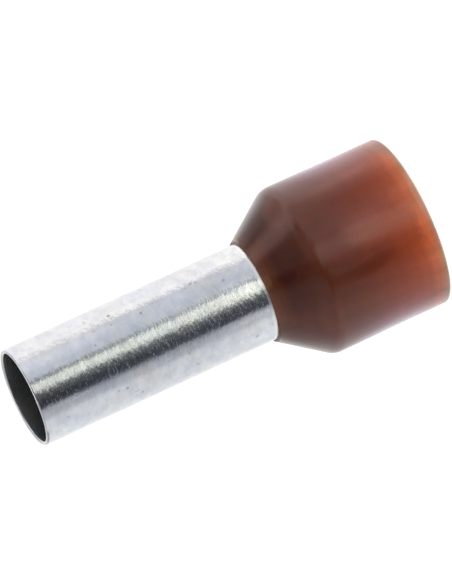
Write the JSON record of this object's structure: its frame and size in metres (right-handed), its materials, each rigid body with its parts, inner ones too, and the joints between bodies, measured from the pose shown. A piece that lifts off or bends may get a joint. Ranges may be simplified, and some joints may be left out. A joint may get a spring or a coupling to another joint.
{
  "type": "wire ferrule",
  "caption": "Insulated wire ferrule: a tin-plated copper crimp tube with a brown plastic funnel collar that takes the end of a stranded wire.",
  "frame": {"origin": "centre of the collar's open rim, on the surface that the ferrule stands on", "axes": "+Z along the axis, from the collar's rim to the tube's open mouth"},
  "size_m": [0.0086, 0.0086, 0.0205],
  "materials": {
    "tinned_copper": "satin",
    "collar_plastic": "gloss"
  },
  "bodies": {
    "root": {"crimp_tube": "tinned_copper", "insulating_collar": "collar_plastic"}
  },
  "joints": []
}
